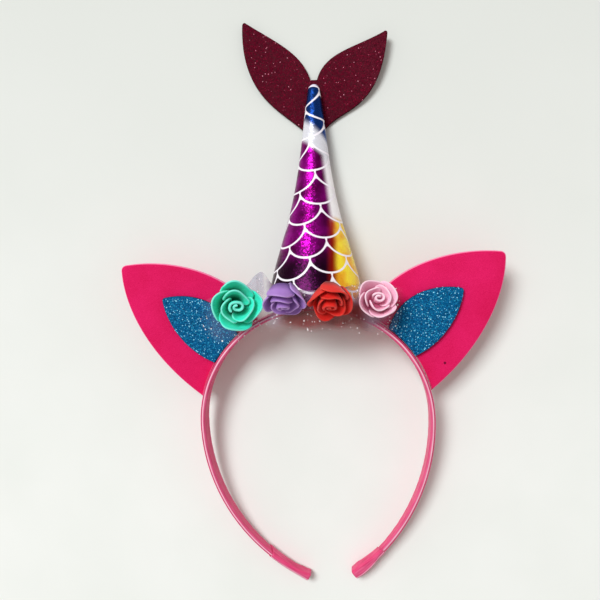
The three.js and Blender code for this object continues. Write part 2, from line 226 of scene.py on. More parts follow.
def band_section(depth, grow_across=0.0, grow_front=0.0):
    """The band's rounded section as (across, front), from the middle of its outer shoulder."""
    x = HOOP_THICKNESS / 2 + grow_across
    z = depth / 2 + grow_front
    radius, steps = BAND_CORNER["radius"], BAND_CORNER["steps"]
    points = []
    for corner, (across, front) in enumerate([(1, 1), (-1, 1), (-1, -1), (1, -1)]):
        centre = np.array([across * (x - radius), front * (z - radius)])
        angles = (corner + np.linspace(0, 1, steps)) * math.pi / 2
        arc = centre + radius * np.stack([np.cos(angles), np.sin(angles)], axis=1)
        following = arc[-1] * (np.array([-1, 1]) if corner % 2 == 0 else np.array([1, -1]))
        side = BAND_SIDE_STEPS["front" if corner % 2 == 0 else "face"]
        shares = np.linspace(0, 1, side + 1)[1:-1, None]
        points += [arc, arc[-1] + (following - arc[-1]) * shares]
    section = np.vstack(points)
    section[:, 0] -= np.sign(section[:, 0]) * BAND_CROWN * (section[:, 1] / z) ** 2
    return np.roll(section, -(steps // 2), axis=0)


def grid_corners(rows, columns):
    """The corners (row, column) of each cell of a grid."""
    return [[(i, j), (i + 1, j), (i + 1, j + 1), (i, j + 1)] for i in range(rows) for j in range(columns)]


def summed(steps):
    """The running sum of steps, from 0."""
    return np.concatenate([[0], np.cumsum(steps)])


def closed_tube(rings):
    """A tube of rings closed at both ends: points, faces, and their corners as (ring, turn)."""
    count = len(rings[0])
    corners = grid_corners(len(rings) - 1, count)
    corners.append([(0, j) for j in range(count)])
    corners.append([(len(rings) - 1, j) for j in reversed(range(count))])
    faces = [[i * count + j % count for i, j in corner] for corner in corners]
    return np.vstack(rings), faces, corners


def points_outward(points, faces):
    """Whether the faces of a closed surface point out of it."""
    volume = 0.0
    for face in faces:
        for b, c in zip(face[1:-1], face[2:]):
            volume += np.dot(points[face[0]], np.cross(points[b], points[c]))
    return volume > 0


def add_piece(node, kind, points, faces, place, finish, corner_map=None, marks=None, closed=True):
    """A smooth piece in place of a node, from points in millimetres in its group's frame."""
    rows = points @ np.array(place.to_3x3()).T + np.array(place.translation)
    mesh = bpy.data.meshes.new(f"{node}_{kind}")
    mesh.from_pydata((rows * MM).tolist(), [], faces)
    if corner_map is not None:
        layer = mesh.uv_layers.new(name="unrolled")
        layer.data.foreach_set("uv", np.asarray(corner_map, np.float32).ravel())
    for name, values in (marks or {}).items():
        mark = mesh.attributes.new(name, "FLOAT", "POINT")
        mark.data.foreach_set("value", np.asarray(values, np.float32))
    mesh.shade_smooth()
    if closed and not points_outward(points, faces):
        mesh.flip_normals()
    mesh.materials.append(finish)
    piece = add_object(mesh.name, mesh)
    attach(piece, "root")
    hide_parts(node)
    return piece


def rising(value, low, high):
    """0 below low and 1 above high, smooth between."""
    inputs = {"Value": value, "From Min": low, "From Max": high}
    return add_node("ShaderNodeMapRange", inputs, interpolation_type="SMOOTHSTEP").outputs["Result"]


def calc(operation, *values):
    return add_node("ShaderNodeMath", dict(enumerate(values)), operation=operation).outputs[0]


times, plus, minus = partial(calc, "MULTIPLY"), partial(calc, "ADD"), partial(calc, "SUBTRACT")
higher, times_plus = partial(calc, "MAXIMUM"), partial(calc, "MULTIPLY_ADD")


def bumped(height, strength, distance):
    inputs = {"Height": height, "Strength": strength, "Distance": distance}
    return add_node("ShaderNodeBump", inputs).outputs["Normal"]


def satin_finish():
    """Pink satin, with the fine lengthwise threads of its face, a painted highlight line along the front, a
    painted shadow line at the lapped edge, and a stronger pink painted on the inner face to offset its
    shade.
    """
    even = {"Roughness": 0.38, "Specular IOR Level": 0.2, "Sheen Weight": 0.06, "Sheen Roughness": 0.35,
            "Sheen Tint": "ff86ac"}
    material, tree, shader = new_finish("pink_satin", even)
    unrolled = own_place(tree, "UV")
    threads = add_node("ShaderNodeMapping", {"Vector": unrolled, "Scale": THREADS})
    thread = cloud(threads.outputs["Vector"], 1.0, 3)
    shade = cloud(own_place(tree), 90, 2)
    turn = axis_of(unrolled, "Y")
    front = ramp(shade, [(0.3, "d83a70"), (0.7, "e44e80")])
    # The inner face is painted a stronger pink than the front, to offset the shade and grey reflection it
    # gets.
    face = ramp(shade, [(0.3, "e01860"), (0.7, "ee2c74")])
    base = mixed(rising(turn, *SATIN["face"]), front, face)
    base = mixed(0.45, base, ramp(thread, [(0.3, "ae2254"), (0.7, "ff84ac")]))
    # Painted highlight: a pale line along the front, paler where the threads are.
    painted_glint = times(rising(turn, *SATIN["painted_glint"]), rising(turn, *SATIN["painted_glint_end"]))
    base = mixed(painted_glint, base, mixed(thread, "f08cae", "ffdce8"))
    # Painted shadow: a dark line at the lapped edge.
    base = mixed(rising(turn, *SATIN["lap"]), base, "a0284f")
    join(shader, {"Base Color": base, "Normal": bumped(thread, 0.4, 0.12 * MM)})
    return material


satin = satin_finish()
rings, unrolled = [], []
for station in range(BAND_STATIONS + 1):
    distance = hoop_length * station / BAND_STATIONS
    place, out, depth = hoop_at(distance)
    section = band_section(depth)
    lap = LAP * (np.arange(len(section)) / len(section) - 1)
    inner = np.clip(-section[:, 0] / (HOOP_THICKNESS / 2), 0, 1)
    sway = PUCKER["sway"] * math.sin(distance / PUCKER["sway_length"])
    wave = math.sin(2 * math.pi * distance / PUCKER["length"] + sway)
    inward = lap - PUCKER["height"] * inner * (1 + wave)
    section = section * (1 + inward / np.linalg.norm(section, axis=1))[:, None]
    steps = np.linalg.norm(np.diff(section, axis=0, append=section[:1]), axis=1)
    rings.append(place + section[:, :1] * out + section[:, 1:] * np.array([0, 0, 1]))
    unrolled.append([(distance, turn) for turn in summed(steps)])
points, faces, corners = closed_tube(rings)
corner_map = [unrolled[i][j] for corner in corners for i, j in corner]
add_piece("headband", "satin", points, faces, hoop_place, satin, corner_map)

# The ribbon ends: the last of the ribbon, folded over each tip of the hoop and glued down. The
# left one is cut square, and the right one is a twisted flap that widens to a rounded end.
ENDS = {  # distances are from the hoop's tip
    "left": {"length": 24.0, "slant": -1.6, "roundness": 4, "flap": ([0, 24], [-0.8, 1.2]),
             "swell": ([0, 2, 7, 30], [0.5, 0.25, 0.05, 0.0])},
    "right": {"length": 19.0, "slant": 1.4, "roundness": 2.2, "flap": ([7, 19], [3.2, -0.6]),
              "swell": ([0, 4, 9, 16, 30], [0.9, 1.15, 0.9, 0.1, 0.0])},
}
END_INSIDE = 0.06
END_WALL = 0.16
END_LAYER = {"step": 0.35, "width": 0.7}  # at the edge of the flap
END_BACK = {"padding": 1.06, "length": 9.0, "slope": 1.5}  # the glued fold that the tip lies on
END_MAP = (0.9, 0.45)  # from ring to ring, and from point to point round a ring
END_BEYOND = 1.25
END_RINGS = 26
END_ROUNDING = [0.99, 0.94, 0.85, 0.7, 0.5, 0.25]


def eased(value):
    value = np.clip(value, 0, 1)
    return value * value * (3 - 2 * value)


def limb_at(side, distance):
    return hoop_at(distance if side == "left" else hoop_length - distance)


def sleeve_section(end, distance, depth):
    """The outside of a ribbon end, with a flap on its front and padding behind."""
    wall = END_INSIDE + END_WALL
    section = band_section(depth, wall + np.interp(distance, *end["swell"]), wall)
    x, z = section[:, 0], section[:, 1]
    flap = END_LAYER["step"] * eased((np.interp(distance, *end["flap"]) - x) / END_LAYER["width"] + 0.5)
    padding = END_BACK["padding"] * eased(END_BACK["slope"] * (1 - distance / END_BACK["length"]))
    section[:, 1] = z + flap * eased(z) - padding * eased(-z)
    return section


for side, end in ENDS.items():
    tip, _, tip_depth = limb_at(side, 0.0)
    beyond = tip - limb_at(side, 1.0)[0]
    beyond /= np.linalg.norm(beyond)
    lean = band_section(tip_depth)[:, 1] / (tip_depth / 2)
    rings = []
    shares = np.linspace(0, 1, END_RINGS)
    for share, inside in [(share, False) for share in shares] + [(share, True) for share in shares[::-1]]:
        ring = []
        for j, distance in enumerate(share * (end["length"] + end["slant"] * lean)):
            place, out, depth = limb_at(side, distance)
            if inside:
                x, z = band_section(depth, END_INSIDE, END_INSIDE)[j]
            else:
                x, z = sleeve_section(end, distance, depth)[j]
            ring.append(place + x * out + np.array([0, 0, z]))
        rings.append(np.array(ring))
    middle = rings[0].mean(0)
    caps = []
    for share in END_ROUNDING:
        shrink = (1 - share ** end["roundness"]) ** (1 / end["roundness"])
        caps.append(middle + (rings[0] - middle) * shrink + beyond * END_BEYOND * share)
    points, faces, corners = closed_tube(caps + rings)
    corner_map = [(i * END_MAP[0], j * END_MAP[1]) for corner in corners for i, j in corner]
    add_piece(f"ribbon_end_{side}", "satin", points, faces, hoop_place, satin, corner_map)

# The ears: hot pink velour on felt, 3 mm thick, cut by hand and glued to the back of the hoop.
# The cut edge is a little rounded, and a paler pink is painted along it as a highlight: the
# sheen of the short nap catching the light.
SIDES = {"left": -1, "right": 1}
EAR_THICKNESS = 3.0
EAR_ROUNDING = 0.6
EAR_UPPER = [(28, -6.5), (36, 16), (68, 27), (95.3, 23.7)]
EAR_LOWER = [(59.1, -46), (85.5, -25), (97.3, 1), (97.6, 20.6)]
TIP_BULGE = 0.2
SHEET = {"edge_step": 1.1, "grid_step": 2.2, "row_share": 0.87, "clear_share": 0.55, "least_mitre": 0.45}
STAIN = {"place": Vector((66.7, -34.1, 16.7)) * MM, "radius": 0.9 * MM, "core": 0.36 * MM}
GLUE_GAP = 0.3  # between two pieces that are glued together


def curved_edge(points, count=60):
    """A cubic curve through the first and last of four points."""
    t = np.linspace(0, 1, count)[:, None]
    a, b, c, d = [np.array(point, float) for point in points]
    return (1 - t) ** 3 * a + 3 * t * (1 - t) ** 2 * b + 3 * t * t * (1 - t) * c + t ** 3 * d


def rounded_tip(a, b, count=12):
    """A curve from a to b that bulges outwards, for a rounded tip."""
    t = np.linspace(0, 1, count)[:, None]
    out = np.array([b[1] - a[1], a[0] - b[0]])
    return a + (b - a) * t - out * 4 * TIP_BULGE * t * (1 - t)


def evenly(line, step):
    """A line again, with its ends kept and its points about a step apart."""
    run = summed(np.linalg.norm(np.diff(line, axis=0), axis=1))
    at = np.linspace(0, run[-1], max(2, round(run[-1] / step) + 1))
    return np.stack([np.interp(at, run, line[:, k]) for k in range(line.shape[1])], axis=1)


def ear_outline(upper, lower, sign):
    """The outline of an ear, whose root follows the hoop."""
    centre = np.array([sign * HOOP_MIDDLE, -HOOP_RADIUS])
    reach = HOOP_RADIUS + GLUE_GAP
    first, last = [math.atan2(y - centre[1], x - centre[0]) for x, y in (lower[0], upper[0])]
    turn = np.linspace(first, last, 40)
    root = centre + reach * np.stack([np.cos(turn), np.sin(turn)], axis=1)
    top = curved_edge([root[-1], *upper[1:]])
    bottom = curved_edge([root[0], *lower[1:]])
    sides = [root, top, rounded_tip(top[-1], bottom[-1]), bottom[::-1]]
    outline = np.vstack([evenly(side, SHEET["edge_step"])[:-1] for side in sides])
    return outline * np.array([sign, 1])


def inside_outline(points, outline):
    """Which points lie inside a closed outline."""
    a, b = outline, np.roll(outline, -1, axis=0)
    x, y = points[:, 0:1], points[:, 1:2]
    crosses = (a[:, 1] > y) != (b[:, 1] > y)
    rise = np.where(b[:, 1] == a[:, 1], 1e-9, b[:, 1] - a[:, 1])
    return (crosses & (x < a[:, 0] + (y - a[:, 1]) / rise * (b[:, 0] - a[:, 0]))).sum(1) % 2 == 1


def cut_sheet(outline, thickness, rounding):
    """A flat sheet cut to an outline, with rounded edges: its points, faces and marks."""
    following = np.roll(outline, -1, axis=0) - outline
    if (outline[:, 0] * np.roll(outline[:, 1], -1) - outline[:, 1] * np.roll(outline[:, 0], -1)).sum() < 0:
        return cut_sheet(outline[::-1], thickness, rounding)
    following /= np.linalg.norm(following, axis=1)[:, None]
    edge_out = np.stack([following[:, 1], -following[:, 0]], axis=1)
    out = edge_out + np.roll(edge_out, 1, axis=0)
    out /= np.linalg.norm(out, axis=1)[:, None]
    mitre = 1 / np.clip((out * edge_out).sum(1), SHEET["least_mitre"], 1)
    out = out * (mitre * rounding)[:, None]
    inner = outline - out
    low, high = inner.min(0), inner.max(0)
    step = SHEET["grid_step"]
    grid = []
    for k, y in enumerate(np.arange(low[1], high[1], step * SHEET["row_share"])):
        grid += [(x + (k % 2) * step / 2, y) for x in np.arange(low[0], high[0], step)]
    grid = np.array(grid)
    grid = grid[inside_outline(grid, inner)]
    clear = np.linalg.norm(grid[:, None] - inner[None], axis=2).min(1) > step * SHEET["clear_share"]
    flat = np.vstack([inner, grid[clear]])
    count = len(inner)
    rim = [(i, (i + 1) % count) for i in range(count)]
    triangles, origins = delaunay_2d_cdt([Vector(p) for p in flat], rim, [], 1, 1e-7)[2:4]
    triangles = [[origins[k][0] for k in triangle] for triangle in triangles]
    half = thickness / 2
    front, back = [np.column_stack([flat, np.full(len(flat), height)]) for height in (half, -half)]
    angles = np.radians([30, 60, 90])
    profile = [(math.sin(a), half - rounding * (1 - math.cos(a))) for a in angles]
    profile += [(share, -height) for share, height in profile[::-1]]
    rings = [np.column_stack([inner + out * share, np.full(count, height)]) for share, height in profile]
    starts = [0, *[2 * len(flat) + k * count for k in range(len(rings))], len(flat)]
    faces = triangles + [[len(flat) + k for k in triangle[::-1]] for triangle in triangles]
    for upper, lower in zip(starts, starts[1:]):
        faces += [[upper + i, lower + i, lower + j, upper + j] for i, j in rim]
    marks = {"rim": np.concatenate([np.zeros(2 * len(flat)), np.ones(count * len(rings))])}
    return np.vstack([front, back, *rings]), faces, marks


def vector_calc(operation, *values):
    return add_node("ShaderNodeVectorMath", dict(enumerate(values)), operation=operation).outputs


def marked(tree, name):
    return add_node("ShaderNodeAttribute", {}, tree, attribute_name=name).outputs["Fac"]


def velour_finish():
    """Hot pink velour: a brushed nap, a painted sheen that pales it along the edge, and one dark spot."""
    even = {"Roughness": 0.95, "Specular IOR Level": 0.1, "Sheen Weight": 0.2, "Sheen Roughness": 0.4,
            "Sheen Tint": "ff8fc0"}
    material, tree, shader = new_finish("pink_velour", even)
    place = own_place(tree)
    brushed = cloud(place, 60, 3)
    nap = cloud(place, 2600, 2)
    base = ramp(brushed, [(0.3, "d90d50"), (0.7, "e81862")])
    base = mixed(0.3, base, ramp(nap, [(0.35, "bc0844"), (0.65, "f6357c")]))
    # Painted sheen: the cut edge is paler, as the nap would catch the light there.
    base = mixed(rising(marked(tree, "rim"), 0.2, 1.3), base, "ff8cb8")
    off = vector_calc("DISTANCE", place, STAIN["place"])["Value"]
    spot = rising(off, STAIN["radius"], STAIN["core"])
    base = mixed(spot, base, "6a0a2c")
    join(shader, {"Base Color": base, "Normal": bumped(nap, 0.35, 0.15 * MM)})
    return material


velour = velour_finish()
for side, sign in SIDES.items():
    points, faces, marks = cut_sheet(ear_outline(EAR_UPPER, EAR_LOWER, sign), EAR_THICKNESS, EAR_ROUNDING)
    add_piece(f"ear_{side}", "velour", points, faces, hoop_place, velour, marks=marks)

# The inner ears: a smaller leaf of teal-blue glitter foam glued on the front of each ear. Its
# glitter is a crowded coat of tiny flakes, with larger tilted ones strewn over it that catch the
# light, the palest painted near white as glints. Its cut edge is darkened with painted shade.
INNER_EAR_THICKNESS = 2.0
INNER_EAR_ROUNDING = 0.3
INNER_EAR_UPPER = [(38.5, -13.4), (45, 5), (62, 8.8), (75.4, 6.3)]
INNER_EAR_LOWER = [(51.3, -27.9), (67, -21), (75, -6), (76.3, 4.8)]
GLITTER_GRAIN = 0.42  # size of a flake in the coat
GLITTER_LEAN = 0.7
FLAKE = {"radius": 0.26 * MM, "tilt": 0.35, "lift": 0.06 * MM, "sides": 6, "smallest": 0.5,
         "largest": 1.3}
FLAKE_UPWARD = 0.3  # least upward part of the normal where flakes lie
BLUE_FLAKES = 0.5 / MM ** 2  # to the square metre
BLUE_SEED = 3


def leaning(cells, amount):
    """The surface's normal, leaning its own way in each random cell."""
    way = vector_calc("SUBTRACT", cells, (0.5, 0.5, 0.5))[0]
    straight = add_node("ShaderNodeNewGeometry", {}, cells.id_data).outputs["Normal"]
    leaned = vector_calc("MULTIPLY_ADD", way, (amount, amount, amount), straight)[0]
    return vector_calc("NORMALIZE", leaned)[0]


def glitter_finish(name, dark, middle, light):
    """Glitter foam: a coat of tiny flakes, each with its own shade and lean, and painted shade darkening
    its cut edge.
    """
    material, tree, shader = new_finish(name, {"Roughness": 0.5, "Specular IOR Level": 0.06})
    crowded = {"Vector": own_place(tree), "Scale": 1 / (GLITTER_GRAIN * MM)}
    cells = add_node("ShaderNodeTexVoronoi", crowded).outputs["Color"]
    shade = add_node("ShaderNodeSeparateColor", {"Color": cells})
    stops = [(0.0, dark), (0.5, middle), (0.88, middle), (1.0, light)]
    base = ramp(shade.outputs["Red"], stops)
    # Painted shade: the cut edge is darkened, as if in the shadow of the sheet's thickness.
    base = mixed(rising(marked(tree, "rim"), 0.7, 1.0), base, dark)
    join(shader, {"Base Color": base, "Normal": leaning(cells, GLITTER_LEAN)})
    return material


def flake_finish(name, dark, light):
    """Thin bright flakes, each with a random shade of its own, the palest painted near white as glints."""
    material, tree, shader = new_finish(name, {"Roughness": 0.4, "Specular IOR Level": 0.25})
    # Painted glints: the flakes run from a dark shade up to a pale colour that stands in for light catching
    # them.
    shade = ramp(marked(tree, "painted_glint"), [(0.0, dark), (0.5, dark), (1.0, light)])
    join(shader, {"Base Color": shade})
    return material


def strewing_tree():
    """A tree that strews six-sided flakes over the upper side of a surface."""
    tree = bpy.data.node_groups.new("strewn_flakes", "GeometryNodeTree")
    sockets = [("Surface", "Geometry"), ("Flakes per square metre", "Float"), ("Flake radius", "Float"),
               ("Tilt", "Float"), ("Lift", "Float"), ("Seed", "Int"), ("Finish", "Material")]
    for name, kind in sockets:
        tree.interface.new_socket(name, in_out="INPUT", socket_type=f"NodeSocket{kind}")
    tree.interface.new_socket("Flakes", in_out="OUTPUT", socket_type="NodeSocketGeometry")
    given = tree.nodes.new("NodeGroupInput").outputs
    seed = given["Seed"]

    def made(kind, inputs, output=0, **settings):
        return add_node(kind, inputs, tree, **settings).outputs[output]

    upward = axis_of(made("GeometryNodeInputNormal", {}), "Z")
    on_top = made("FunctionNodeCompare", {0: upward, 1: FLAKE_UPWARD}, operation="GREATER_THAN")
    spread = add_node("GeometryNodeDistributePointsOnFaces", {
        "Mesh": given["Surface"], "Selection": on_top, "Density": given["Flakes per square metre"],
        "Seed": seed}).outputs
    raised = made("ShaderNodeVectorMath", {0: spread["Normal"], "Scale": given["Lift"]}, operation="SCALE")
    lifted = made("GeometryNodeSetPosition", {"Geometry": spread["Points"], "Offset": raised})
    down = times(given["Tilt"], -1.0)
    low = made("ShaderNodeCombineXYZ", {0: down, 1: down, 2: -math.pi})
    high = made("ShaderNodeCombineXYZ", {0: given["Tilt"], 1: given["Tilt"], 2: math.pi})
    lean = made("FunctionNodeRandomValue", {0: low, 1: high, "Seed": seed}, data_type="FLOAT_VECTOR")
    leaned = made("FunctionNodeEulerToRotation", {0: lean})
    turned = made("FunctionNodeRotateRotation", {0: spread["Rotation"], 1: leaned}, rotation_space="LOCAL")
    sizes = {2: FLAKE["smallest"], 3: FLAKE["largest"], "Seed": seed}
    size = made("FunctionNodeRandomValue", sizes, 1)
    hexagon = {"Vertices": FLAKE["sides"], "Radius": given["Flake radius"]}
    flake = made("GeometryNodeMeshCircle", hexagon, fill_type="NGON")
    strewn = made("GeometryNodeInstanceOnPoints", {
        "Points": lifted, "Instance": flake, "Rotation": turned, "Scale": size})
    # A random shade for each flake, which the flakes' finish turns into painted glints on the palest ones.
    shade = made("FunctionNodeRandomValue", {2: 0.0, 3: 1.0, "Seed": seed}, 1)
    painted_glint = {"Geometry": strewn, "Name": "painted_glint", "Value": shade}
    named = made("GeometryNodeStoreNamedAttribute", painted_glint, domain="INSTANCE")
    real = made("GeometryNodeRealizeInstances", {"Geometry": named})
    finished = made("GeometryNodeSetMaterial", {"Geometry": real, "Material": given["Finish"]})
    tree.links.new(finished, tree.nodes.new("NodeGroupOutput").inputs[0])
    return tree


strewing = strewing_tree()


def strew(name, surface, slot, finish, density, seed, size=1.0, tilt=1.0):
    """A piece of flakes strewn over another piece's upper side."""
    bearer = add_object(f"{name}_bearer", surface.data.copy())
    modifier = bearer.modifiers.new("strewing", "NODES")
    modifier.node_group = strewing
    values = {"Flakes per square metre": density, "Flake radius": size * FLAKE["radius"],
              "Tilt": tilt * FLAKE["tilt"], "Lift": FLAKE["lift"], "Seed": seed, "Finish": finish}
    for item in strewing.interface.items_tree:
        if item.name in values:
            modifier[item.identifier] = values[item.name]
    bpy.context.view_layer.update()
    grown = bearer.evaluated_get(bpy.context.evaluated_depsgraph_get())
    mesh = bpy.data.meshes.new_from_object(grown)
    bpy.data.objects.remove(bearer)
    mesh.name = name
    flakes = add_object(name, mesh)
    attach(flakes, "root")


blue_glitter = glitter_finish("blue_glitter", "013358", "015f92", "37b3da")
blue_flakes = flake_finish("blue_flakes", "148cc8", "a0e8ff")
inner_ear_front = EAR_THICKNESS / 2 + GLUE_GAP + INNER_EAR_THICKNESS / 2
for seed, (side, sign) in enumerate(SIDES.items(), start=BLUE_SEED):
    outline = ear_outline(INNER_EAR_UPPER, INNER_EAR_LOWER, sign)
    points, faces, marks = cut_sheet(outline, INNER_EAR_THICKNESS, INNER_EAR_ROUNDING)
    points[:, 2] += inner_ear_front
    leaf = add_piece(f"inner_ear_{side}", "foam", points, faces, hoop_place, blue_glitter,
                     marks=marks)
    strew(f"inner_ear_{side}_glitter", leaf, "blue_glitter_foam", blue_flakes, BLUE_FLAKES, seed)

# The tail fluke: maroon glitter foam, 2 mm thick, cut freehand to two lobes and glued behind the
# horn's tip. Its middle lies flat, and the tips of the lobes curl up a little.
TAIL_PLACE = Matrix.Translation(Vector((4.5, 118.023, 0)))
TAIL_THICKNESS = 2.0
TAIL_ROUNDING = 0.3
TAIL_POINT = (0, -33.5)
TAIL_FLAT = 0.35
TAIL_LOBES = {
    "left": {"sign": -1, "lift": 2.0, "inner": [(1.8, 0), (5.5, 15), (21, 22.5), (36, 32.3)],
             "outer": [(1.8, -32), (14, -16), (40, -11), (37.4, 31)]},
    "right": {"sign": 1, "lift": 5.0, "inner": [(1.8, 0), (6, 15.4), (26.4, 17.3), (38.6, 22.2)],
              "outer": [(1.8, -32), (11, -13), (34.7, -23.8), (39.8, 20.9)]},
}
MAROON_FLAKES = {"density": 0.08 / MM ** 2, "seed": 11, "size": 0.8}

halves = {}
for side, lobe in TAIL_LOBES.items():
    inner = curved_edge(lobe["inner"])
    outer = curved_edge(lobe["outer"])
    tip = rounded_tip(inner[-1], outer[-1])
    lobe["span"] = tip[:, 0].max()
    parts = [evenly(part, SHEET["edge_step"])[:-1] for part in (inner, tip, outer[::-1])]
    halves[side] = np.vstack([*parts, outer[:1]]) * np.array([lobe["sign"], 1])
outline = np.vstack([halves["right"], [TAIL_POINT], halves["left"][::-1]])
points, faces, marks = cut_sheet(outline, TAIL_THICKNESS, TAIL_ROUNDING)
for lobe in TAIL_LOBES.values():
    reach = np.clip(lobe["sign"] * points[:, 0] / lobe["span"] - TAIL_FLAT, 0, None) / (1 - TAIL_FLAT)
    points[:, 2] += lobe["lift"] * reach ** 2
points[:, 2] += TAIL_THICKNESS / 2
maroon_glitter = glitter_finish("maroon_glitter", "38000f", "58001c", "8a1030")
tail = add_piece("tail_fluke", "foam", points, faces, TAIL_PLACE, maroon_glitter,
                 marks=marks)
maroon_flakes = flake_finish("maroon_flakes", "a02848", "ff9cb4")
strew("tail_fluke_glitter", tail, "maroon_glitter_foam", maroon_flakes, **MAROON_FLAKES)

# The horn: foil cloth printed with white fish scales, rolled into a cone over stiff paper and
# glued down its back. Its rainbow runs from blue at the tip through silver to purple and gold.
HORN_PLACE = Matrix.Translation(Vector((2.3, -4.377, 18.532)))
HORN_TILT = -0.118163
HORN_SIDE_LEAN = -0.019199
HORN_PROFILE = {0: 24.6, 10: 23.3, 20: 21.1, 33: 17.5, 49: 13.2, 64: 10.1, 80: 7.7, 94: 6.0, 107: 4.6,
                116: 3.3}  # distance up it: half its width
HORN_END = 120.0
HORN_ROUNDED = 0.998  # share of its rounded end that is built, short of a point
HORN_DEPTH_RATIO = 0.75
HORN_WALL = 1.1
HORN_SEAM = {"step": 0.45, "lap": 1.2, "full_from": 6.0}  # at the back, where one edge lies over the other
HORN_RINGS = 110
HORN_CROWDING = 1.5  # how the rings come closer together towards the tip
HORN_AROUND = 96
HORN_INNER_END = 104
CLOTH_REACH = 124.05  # from the horn's foot to where the unrolled cloth would come to a point
SCALE_WIDTH = 19.4
SCALE_PITCH = 9.375  # from one row of scales to the next
SCALE_RADIUS = 10.1
SCALE_LEAN = math.radians(8.7)
SCALE_START = (2.2, -88.0)  # middle of one scale on the unrolled cloth
SCALE_LINE = {"inside": 0.36, "outside": 0.62, "stem": 0.25, "fillet": 2.8, "blur": 0.16, "margin": 0.1}
# Besides the print, it holds painted shade near black at the foot and a silver painted greyer near the tip.
RAINBOW = {  # where its colours begin and end on the unrolled cloth, whose point is at (0, 0)
    "silver_line": (-0.13, -0.4), "silver_side": (-2.6, 1.0), "silver_top": (0.85, 39.6, 2.0),
    "painted_light_top": (-52.0, -42.0), "blue": (0.9, 27.5, 2.6), "low": (-75.0, -80.5), "red": (5.5, 9.5),
    "gold": (9.0, 13.0), "painted_shade_foot": (-91.0, -105.0), "cap": (4.4, 3.4),
}
FOIL_MATT = {"silver": 0.9, "gold": 0.8, "blue": 0.9}
FOIL_ROUGH = {"least": 0.2, "grain": 0.14, "white": 0.25}
FOIL_SPARKLE = {"scale": 1.5, "lean": 0.17}


def smooth_through(table, at):
    """A smooth curve through a table of distance: value."""
    x = np.array(list(table.keys()), float)
    y = np.array(list(table.values()), float)
    slope = np.gradient(y, x)
    k = np.clip(np.searchsorted(x, at) - 1, 0, len(x) - 2)
    h = x[k + 1] - x[k]
    t = (at - x[k]) / h
    return ((1 + 2 * t) * (1 - t) ** 2 * y[k] + t * (1 - t) ** 2 * h * slope[k]
            + t * t * (3 - 2 * t) * y[k + 1] + t * t * (t - 1) * h * slope[k + 1])


def horn_width(along):
    """Half the horn's width at a distance up it, with a rounded end."""
    straight = max(HORN_PROFILE)
    past = np.clip((along - straight) / (HORN_END - straight), 0, HORN_ROUNDED)
    return smooth_through(HORN_PROFILE, np.minimum(along, straight)) * np.sqrt(1 - past ** 2)


horn_place = HORN_PLACE @ Matrix.Rotation(HORN_TILT, 4, "X") @ Matrix.Rotation(HORN_SIDE_LEAN, 4, "Z")
outside = HORN_END * (1 - (1 - np.linspace(0, 1, HORN_RINGS)) ** HORN_CROWDING)
inside = np.linspace(HORN_INNER_END, 0, HORN_RINGS // 2)
outside_slant = np.hypot(np.diff(outside), np.diff(horn_width(outside)) * (1 + HORN_DEPTH_RATIO) / 2)
to_point = CLOTH_REACH - summed(outside_slant)
turns = np.linspace(-math.pi, math.pi, HORN_AROUND + 1)
fine = np.linspace(0, math.pi, 400)
bends = np.hypot(np.cos(fine[1:]), HORN_DEPTH_RATIO * np.sin(fine[1:])) * fine[1]
around = np.sign(turns) * np.interp(np.abs(turns), fine, summed(bends))
seam = HORN_SEAM["step"] * (1 - eased((turns[:-1] + math.pi) / HORN_SEAM["lap"]))
rings, unrolled = [], []
for along, wall in [(s, HORN_WALL) for s in inside] + [(s, 0.0) for s in outside]:
    width = horn_width(along)
    lapped = np.maximum(width - wall - seam * min(width / HORN_SEAM["full_from"], 1), 0.1 * width)
    x = lapped * np.sin(turns[:-1])
    z = lapped * HORN_DEPTH_RATIO * np.cos(turns[:-1])
    rings.append(np.stack([x, np.full(len(x), along), z], axis=1))
    apex = np.interp(along, outside, to_point)
    bend = around * width / apex
    unrolled.append(np.stack([apex * np.sin(bend), -apex * np.cos(bend)], axis=1))
points, faces, corners = closed_tube(rings)
corner_map = [unrolled[i][j] for corner in corners for i, j in corner]


def along_way(x, y, angle):
    """How far a point of the cloth lies along a way at an angle to its x."""
    return times_plus(x, math.cos(angle), times(y, math.sin(angle)))


def scale_row(across, row, height):
    """How far a point is outside a row's scales, and how white their line is there."""

    def past(value, border, blur):
        return rising(value, SCALE_RADIUS + border - blur, SCALE_RADIUS + border + blur)

    shift = times(calc("FLOORED_MODULO", row, 2.0), 0.5)
    slot = minus(calc("DIVIDE", across, SCALE_WIDTH), shift)
    near = times(calc("PINGPONG", slot, 0.5), SCALE_WIDTH)
    far = minus(SCALE_WIDTH, near)
    drop = times(minus(height, row), SCALE_PITCH)
    drop = times(drop, drop)
    first, second = [calc("SQRT", times_plus(away, away, drop)) for away in (near, far)]
    joined = calc("SMOOTH_MIN", first, second, SCALE_LINE["fillet"])
    blur = SCALE_LINE["blur"]
    past_edge = past(first, -SCALE_LINE["inside"], blur)
    line = times(past_edge, past(joined, SCALE_LINE["outside"], -blur))
    return past_edge, higher(line, past(second, SCALE_LINE["stem"], -blur))


